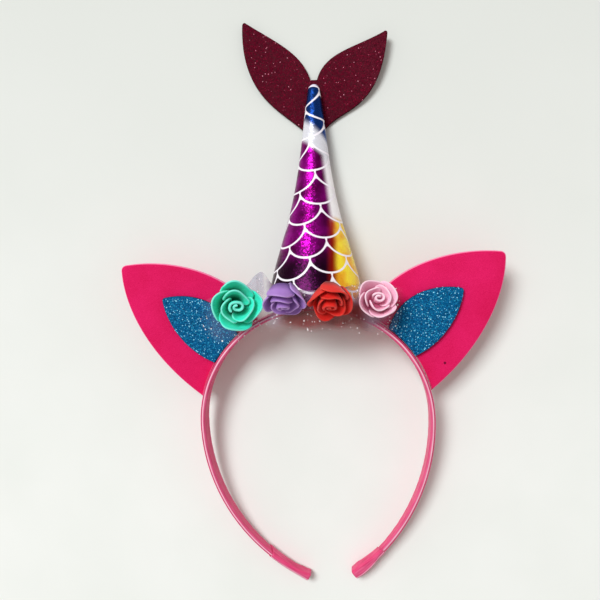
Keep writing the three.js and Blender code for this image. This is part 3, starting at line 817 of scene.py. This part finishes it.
def foil_finish():
    """Rainbow foil with a white fish-scale print, on the unrolled cloth's own millimetres, with painted
    shade near black at its foot and painted light on its silver, greyer towards the tip.
    """
    material, tree, shader = new_finish("scale_foil", {"Coat Weight": 0.06, "Coat Roughness": 0.3})
    cloth = own_place(tree, "UV")
    x, y = axis_of(cloth, "X"), axis_of(cloth, "Y")
    across = minus(along_way(x, y, SCALE_LEAN), SCALE_START[0])
    upward = minus(along_way(x, y, SCALE_LEAN + math.pi / 2), SCALE_START[1])
    height = calc("DIVIDE", upward, SCALE_PITCH)
    upper = calc("FLOOR", plus(height, SCALE_RADIUS / SCALE_PITCH + SCALE_LINE["margin"]))
    outside_upper, upper_line = scale_row(across, upper, height)
    lower_line = scale_row(across, minus(upper, 1.0), height)[1]
    white = higher(upper_line, times(outside_upper, lower_line))

    def slanted(rise, start, width):
        """0 to 1 across a slanting border of the rainbow, towards the tip."""
        border = plus(times_plus(x, rise, y), start)
        return rising(border, -width, width)

    side = minus(x, times_plus(y, *RAINBOW["silver_line"]))
    silver = higher(rising(side, *RAINBOW["silver_side"]), slanted(*RAINBOW["silver_top"]))
    blue = slanted(*RAINBOW["blue"])
    low = rising(y, *RAINBOW["low"])
    red, gold = [times(rising(x, *RAINBOW[name]), low) for name in ("red", "gold")]
    cap = rising(vector_calc("LENGTH", cloth)["Value"], *RAINBOW["cap"])
    paper = marked(tree, "inside")
    glow = cloud(cloth, 0.12, 1)
    base = ramp(glow, [(0.35, "64004f"), (0.65, "9c0a8c")])
    layers = [
        # Painted shade: near black at the foot, for the shade the roses cast there.
        (rising(y, *RAINBOW["painted_shade_foot"]), "2a0324"),
        # Painted light: the silver is greyer towards the tip, against the lamp's glare, and whiter lower
        # down, against the side's shade.
        (silver, mixed(rising(y, *RAINBOW["painted_light_top"]), "fbf6f8", "dcdae2")),
        (blue, "07347a"),
        (red, "b3200c"),
        (gold, ramp(glow, [(0.38, "f2a808"), (0.55, "ffe32a")])),
        (cap, "d9cfe8"),
        (white, "f8f0f8"),
        (paper, ramp(glow, [(0.35, "cfc8c2"), (0.65, "dcd6d0")])),
    ]
    for share, colour in layers:
        base = mixed(share, base, colour)
    pale = higher(times(silver, FOIL_MATT["silver"]), times(gold, FOIL_MATT["gold"]))
    pale = times(pale, times_plus(blue, -FOIL_MATT["blue"], 1.0))
    dull = higher(higher(pale, white), higher(cap, paper))
    rough = times_plus(cloud(cloth, 2.4, 2), FOIL_ROUGH["grain"], FOIL_ROUGH["least"])
    rough = times_plus(white, FOIL_ROUGH["white"], rough)
    sparkle = {"Vector": cloth, "Scale": FOIL_SPARKLE["scale"]}
    sparkle = add_node("ShaderNodeTexVoronoi", sparkle).outputs["Color"]
    join(shader, {"Base Color": base, "Metallic": minus(1.0, dull), "Roughness": rough,
                  "Normal": leaning(sparkle, FOIL_SPARKLE["lean"])})
    return material


marks = {"inside": np.repeat([1.0, 0.0], [len(inside) * HORN_AROUND, len(outside) * HORN_AROUND])}
add_piece("horn", "foil", points, faces, horn_place, foil_finish(), corner_map, marks)

# The roses: mint, lilac, red and pink. Each is a strip of soft foam rolled into a bud, with three
# inner and four outer petals glued round it, their rims pinched outwards.
PETAL_THICKNESS = {"foot": 1.1, "rim": 0.85}
PETAL_ROWS = 13
PETAL_COLUMNS = 19
PETAL_STEP = 1.85
PETAL_NARROWING = {"base": 0.2, "rim": 0.28}
PETAL_CURL = {"from": 0.7, "out": 0.35, "down": 0.2}
PETAL_WAVE = {"out": 0.55, "up": 0.7}
PETAL_FOOT = {"share": 0.12, "closed": 0.15}  # share of its height where it closes under the bud
# How far in from the rim its painted highlight reaches.
PETAL_PAINTED_HIGHLIGHT_WIDTH = 1.0
PETAL_PHASE = {"rose": 1.3, "petal": 2.1}  # makes each rim's wave its own
PETAL_RINGS = {
    "inner": {"count": 3, "low": 3.0, "high": 13.0, "base": 3.0, "rim": 6.5, "flare": 0.0, "span": 165,
              "dip": 0.16},
    "outer": {"count": 4, "low": 0.0, "high": 12.0, "base": 4.6, "rim": 9.8, "flare": 0.9, "span": 130,
              "dip": 0.26},
}
BUD_PROFILE = {4.4: 0.8, 6: 2.2, 8: 3.2, 10.5: 4.0, 12.5: 4.4, 13.8: 4.1}
BUD = {"turns": 1.4, "core": 0.9, "wall": 1.25, "steps": 70, "rows": 14, "oval": 0.28, "wave": 0.05}
ROSE_MIDDLE = 6.0
# Each rose's colours: its painted shade low down, its own colour, and its rims' painted highlight.
ROSES = {
    "mint": {"size": 1.07, "middle": (-36, 2.5, 16.2), "face": (0.26, 0, 0.97), "spin": 77,
             "colours": ("008a6c", "34f0d0", "a4f8ea")},
    "lilac": {"size": 0.9, "middle": (-11, 7, 26.6), "face": (0, -0.82, 0.57), "spin": 95,
              "colours": ("4b2070", "a678c6", "cba6e2")},
    "red": {"size": 0.93, "middle": (10.7, 6, 27.25), "face": (0, -0.7, 0.71), "spin": 60,
            "colours": ("640000", "de1a10", "ea4030")},
    "pink": {"size": 0.86, "middle": (32.4, 2.6, 15.8), "face": (0.2, 0.34, 0.92), "spin": 20,
             "colours": ("e07aa2", "ffc8de", "ffe4ee")},
}
EDGE_SHARES = [0, 0.012, 0.035, 0.07, 0.12]  # close lines beside an edge, to round it


def from_edges(count):
    """Shares from 0 to 1, close together near both ends."""
    inside = np.linspace(EDGE_SHARES[-1], 1 - EDGE_SHARES[-1], count)[1:-1]
    return np.concatenate([EDGE_SHARES, inside, 1 - np.array(EDGE_SHARES[::-1])])


def run_along(grid, axis):
    """The distance along a grid's lines from their start, and to their end."""
    step = np.linalg.norm(np.diff(grid, axis=axis), axis=2)
    run = np.cumsum(np.insert(step, 0, 0.0, axis=axis), axis=axis)
    return run, run.max(axis=axis, keepdims=True) - run


def soft_sheet(grid, rise, thickness):
    """A sheet about a grid, with rounded edges: its points, faces and marks."""
    rows, columns = grid.shape[:2]
    normal = np.cross(np.gradient(grid, axis=1), np.gradient(grid, axis=0))
    normal /= np.linalg.norm(normal, axis=2)[:, :, None]
    foot, top = run_along(grid, 0)
    side = np.minimum(*run_along(grid, 1))
    near = np.minimum(np.minimum(foot, top), side) / (thickness / 2)
    full = np.sqrt(1 - (1 - np.clip(near, 0, 1)) ** 2)
    offset = normal * (full * thickness / 2)[:, :, None]
    number = np.arange(rows * columns).reshape(rows, columns)
    behind = number + rows * columns
    behind[0], behind[-1], behind[:, 0], behind[:, -1] = number[0], number[-1], number[:, 0], number[:, -1]
    faces = []
    for corner in grid_corners(rows - 1, columns - 1):
        faces.append([number[at] for at in corner])
        faces.append([behind[at] for at in (corner[0], *corner[:0:-1])])
    points = np.vstack([(grid + offset).reshape(-1, 3), (grid - offset).reshape(-1, 3)])
    used, order = np.unique(np.array(faces), return_inverse=True)
    # The rim mark: where the foam's finish paints a highlight along the rim.
    pale = 1 - np.clip(np.minimum(top, side) / PETAL_PAINTED_HIGHLIGHT_WIDTH, 0, 1)
    source = used % pale.size
    marks = {"rise": np.broadcast_to(rise, pale.shape).ravel()[source], "rim": pale.ravel()[source]}
    return points[used], order.reshape(-1, 4).tolist(), marks


def about_axis(radius, angle, height):
    return np.stack([radius * np.cos(angle), radius * np.sin(angle), height], axis=2)


def petal(ring, middle_angle, phase):
    """A petal's middle surface, with a wavy rim and one side tucked under the next."""
    step = PETAL_STEP / (360 / ring["count"])
    t = from_edges(PETAL_ROWS)[:, None]
    side = 2 * from_edges(PETAL_COLUMNS)[None, :] - 1
    width = 1 - PETAL_NARROWING["base"] * (1 - t) ** 2 - PETAL_NARROWING["rim"] * t ** 4
    turn = 0.5 * side * ring["span"] * width
    rise = t * (1 - ring["dip"] * np.abs(side) ** 2.4)
    bowl = (ring["rim"] - ring["base"]) * np.sin(rise * math.pi / 2)
    curl = np.clip((t - PETAL_CURL["from"]) / (1 - PETAL_CURL["from"]), 0, 1) ** 2
    closed = PETAL_FOOT["closed"]
    closing = closed + (1 - closed) * np.sqrt(np.clip(t / PETAL_FOOT["share"], 0, 1))
    radius = (ring["base"] + bowl + ring["flare"] * rise ** 4 + step * turn) * closing
    radius = radius + PETAL_CURL["out"] * curl + PETAL_WAVE["out"] * t ** 2 * np.sin(4 * side + phase)
    angle = np.radians(middle_angle + turn)
    height = ring["low"] + (ring["high"] - ring["low"]) * rise - PETAL_CURL["down"] * curl
    height = height + PETAL_WAVE["up"] * t ** 2 * np.sin(3 * side + 2 * phase)
    thickness = PETAL_THICKNESS["foot"] + (PETAL_THICKNESS["rim"] - PETAL_THICKNESS["foot"]) * t
    return about_axis(radius, angle, height), t, thickness


def bud(spin):
    """The rolled strip of the bud, a spiral wall that opens upwards."""
    run = from_edges(BUD["steps"])[None, :]
    t = from_edges(BUD["rows"])[:, None]
    angle = math.radians(spin) + 2 * math.pi * BUD["turns"] * run
    low, high = min(BUD_PROFILE), max(BUD_PROFILE)
    height = low + (high - low) * t * (1 - BUD["wave"] + BUD["wave"] * np.sin(angle))
    widest = max(BUD_PROFILE.values())
    opened = BUD["core"] + (widest - BUD["wall"] / 2 - BUD["core"]) * run
    radius = opened * smooth_through(BUD_PROFILE, height) / widest * (1 - BUD["oval"] * np.sin(angle) ** 2)
    return about_axis(radius, angle, height), t, np.full_like(t, BUD["wall"])


def foam_finish(name, painted_shade_colour, main, rim):
    """Soft foam: matt and faintly pitted, with painted shade deepening its colour low down and a painted
    highlight paling its rim.
    """
    even = {"Roughness": 0.7, "Specular IOR Level": 0.3, "Sheen Weight": 0.12, "Sheen Roughness": 0.5,
            "Subsurface Weight": 0.1, "Subsurface Scale": 0.6 * MM, "Subsurface Radius": (1.0, 1.0, 1.0)}
    material, tree, shader = new_finish(name, even)
    place = own_place(tree)
    patchy = times_plus(cloud(place, 260, 2), 0.2, -0.1)
    tone = plus(marked(tree, "rise"), patchy)
    # Painted shade: the colour deepens low down in the rose, where the petals shade it.
    base = ramp(tone, [(0.12, painted_shade_colour), (0.6, main), (1.0, main)])
    # Painted highlight: the rim is paler, as if catching the light.
    base = mixed(rising(marked(tree, "rim"), 0.1, 1.7), base, rim)
    pits = bumped(cloud(place, 2200, 3), 0.25, 0.12 * MM)
    join(shader, {"Base Color": base, "Normal": pits})
    return material


for order, (colour, rose) in enumerate(ROSES.items()):
    foam = foam_finish(f"{colour}_foam", *rose["colours"])
    rose["axis"] = Vector(rose["face"]).normalized()
    rose["foot"] = Vector(rose["middle"]) - rose["axis"] * ROSE_MIDDLE * rose["size"]
    facing = Vector((0, 0, 1)).rotation_difference(rose["axis"]).to_matrix().to_4x4()
    place = hoop_place @ Matrix.Translation(rose["foot"]) @ facing @ Matrix.Scale(rose["size"], 4)
    sheets = {f"rose_{colour}_bud": bud(rose["spin"])}
    for ring_name, ring in PETAL_RINGS.items():
        for k in range(ring["count"]):
            turned = rose["spin"] + 360 * k / ring["count"]
            phase = PETAL_PHASE["rose"] * order + PETAL_PHASE["petal"] * k
            sheets[f"rose_{colour}_{ring_name}_{k + 1}"] = petal(ring, turned, phase)
    for name, (grid, rise, thickness) in sheets.items():
        points, faces, marks = soft_sheet(grid, rise, thickness)
        add_piece(name, "foam", points, faces, place, foam, marks=marks)

# The tulle: one strip of sheer glitter net, gathered behind the roses and over the horn's base,
# with a flap that stands up beside the horn. It is tacked to the band with glue.
TULLE_SECTIONS = [  # across, top and bottom
    (-57, 4, -11), (-46, 7, -19), (-34, 10, -16), (-24, 18, -12), (-15, 11, -11),
    (2, 9, -12), (18, 10, -12.5), (30, 11, -16), (40, 9, -17), (47, 7, -5),
]
TULLE_FRONT = 7.6
TULLE_OVER_HORN = {"middle": 2.3, "half_width": 28.0, "half_depth": 19.9}
TULLE_STEPS = 220
TULLE_ROWS = 18
GATHER = {"height": 0.5, "count": 11, "fine_height": 0.12, "fine_count": 37, "fine_slant": 2.5}
NET_PITCH = 0.9
NET_THREAD = 0.14
NET_DENSE = {"between": 0.65, "thread": 0.5}  # share of the veil that is solid
TULLE_FLAKES = {"density": 0.07 / MM ** 2, "seed": 33, "size": 1.5, "tilt": 2.0}
BUNCH = {"reach": 6.5, "below": 0.6, "dense": 8.8, "veil": 1.4, "painted_shadow": 0.7}  # gathered up under a rose
# Its below share thickens the veil where the painted shadow lies.
VEIL = {"everywhere": 0.12, "flap": 0.45, "below": 0.88, "fray": 6.0, "end_fade": 9.0}
FRAY = {"height": 0.2, "count": 9}
# Where painted shadow lies on the tulle below the crest, standing in for the shade cast there.
PAINTED_SHADOW_ZONE = {"middle": 6.0, "half_width": 30.0, "fade": 14.0, "top": 5.0, "top_fade": 6.0}
FLAP = {"left": -35.0, "left_fade": 4.0, "right": -21.0, "right_fade": 3.0, "foot": 3.0, "foot_fade": 6.0}


def tulle_finish():
    """Fine net of threads on three ways, lilac in the flap, with painted shadow in dark reddish brown below
    the crest and under the roses.
    """
    material, tree, shader = new_finish("lilac_tulle", {"Roughness": 0.6})
    net = own_place(tree, "UV")
    x, y = axis_of(net, "X"), axis_of(net, "Y")
    threads = 0.0
    for angle in np.radians([0, 60, 120]):
        off = calc("PINGPONG", along_way(x, y, angle), NET_PITCH / 2)
        thread = rising(off, NET_THREAD, NET_THREAD * 0.3)
        threads = higher(threads, thread)
    dense = times_plus(threads, NET_DENSE["thread"], NET_DENSE["between"])
    alpha = times(dense, marked(tree, "veil"))
    # Painted shadow: the tulle turns dark reddish brown below the crest and under the roses.
    shade = ramp(marked(tree, "painted_shadow"), [(0.0, "a99cb6"), (1.0, "7c1e1a")])
    join(shader, {"Base Color": shade, "Alpha": alpha})
    return material


across = np.linspace(0, len(TULLE_SECTIONS) - 1, TULLE_STEPS + 1)
u, top, bottom = [smooth_through(dict(enumerate(line)), across) for line in zip(*TULLE_SECTIONS)]
share = across / across[-1]
over = 1 - ((u - TULLE_OVER_HORN["middle"]) / TULLE_OVER_HORN["half_width"]) ** 2
stand = np.maximum(TULLE_OVER_HORN["half_depth"] * np.sqrt(np.clip(over, 0, None)), TULLE_FRONT)
gather = GATHER["height"] * np.sin(2 * math.pi * GATHER["count"] * share)
down = np.linspace(0, 1, TULLE_ROWS + 1)[:, None]
fine_turn = 2 * math.pi * GATHER["fine_count"] * share + GATHER["fine_slant"] * down
v = top + (bottom - top) * down
height = stand + gather + GATHER["fine_height"] * np.sin(fine_turn)
bunched = np.zeros_like(height)
for rose in ROSES.values():
    foot, axis = rose["foot"], rose["axis"]
    away = np.hypot(u - foot.x, v - foot.y)
    under = foot.z - BUNCH["below"] - ((u - foot.x) * axis.x + (v - foot.y) * axis.y) / axis.z
    height = height + np.maximum(under - height, 0) * np.exp(-(away / BUNCH["reach"]) ** 2)
    bunched = np.maximum(bunched, np.exp(-(away / BUNCH["dense"]) ** 4))
grid = np.stack([u + 0 * v, v, height], axis=2)
run = summed(np.linalg.norm(np.diff(grid[TULLE_ROWS // 2], axis=0), axis=1))
frayed = VEIL["fray"] * (1 + FRAY["height"] * np.sin(2 * math.pi * FRAY["count"] * share))
low_edge = eased((v - bottom) / frayed)
ends = eased(np.minimum(run, run[-1] - run) / VEIL["end_fade"])
flap = eased((u - FLAP["left"]) / FLAP["left_fade"]) * eased((FLAP["right"] - u) / FLAP["right_fade"])
flap = VEIL["flap"] * flap * eased((v - FLAP["foot"]) / FLAP["foot_fade"])
# The zone of painted shadow below the crest.
painted_shadow = eased((PAINTED_SHADOW_ZONE["half_width"] - np.abs(u - PAINTED_SHADOW_ZONE["middle"])) / PAINTED_SHADOW_ZONE["fade"])
painted_shadow = painted_shadow * eased((PAINTED_SHADOW_ZONE["top"] - v) / PAINTED_SHADOW_ZONE["top_fade"])
veil = (VEIL["everywhere"] + VEIL["below"] * painted_shadow) * low_edge * ends
veil = veil + np.maximum(flap, BUNCH["veil"] * bunched)
# Painted shadow also under each rose.
painted_shadow = np.maximum(painted_shadow, BUNCH["painted_shadow"] * bunched)
corners = grid_corners(TULLE_ROWS, TULLE_STEPS)
faces = [[i * (TULLE_STEPS + 1) + j for i, j in corner] for corner in corners]
corner_map = [(run[j], grid[i, j, 1]) for corner in corners for i, j in corner]
marks = {"veil": veil.ravel(), "painted_shadow": painted_shadow.ravel()}
tulle = add_piece("tulle_ruffle", "net", grid.reshape(-1, 3), faces, hoop_place, tulle_finish(),
                  corner_map, marks, closed=False)
tulle_flakes = flake_finish("tulle_flakes", "e6dade", "ffffff")
strew("tulle_ruffle_glitter", tulle, "glitter_tulle", tulle_flakes, **TULLE_FLAKES)
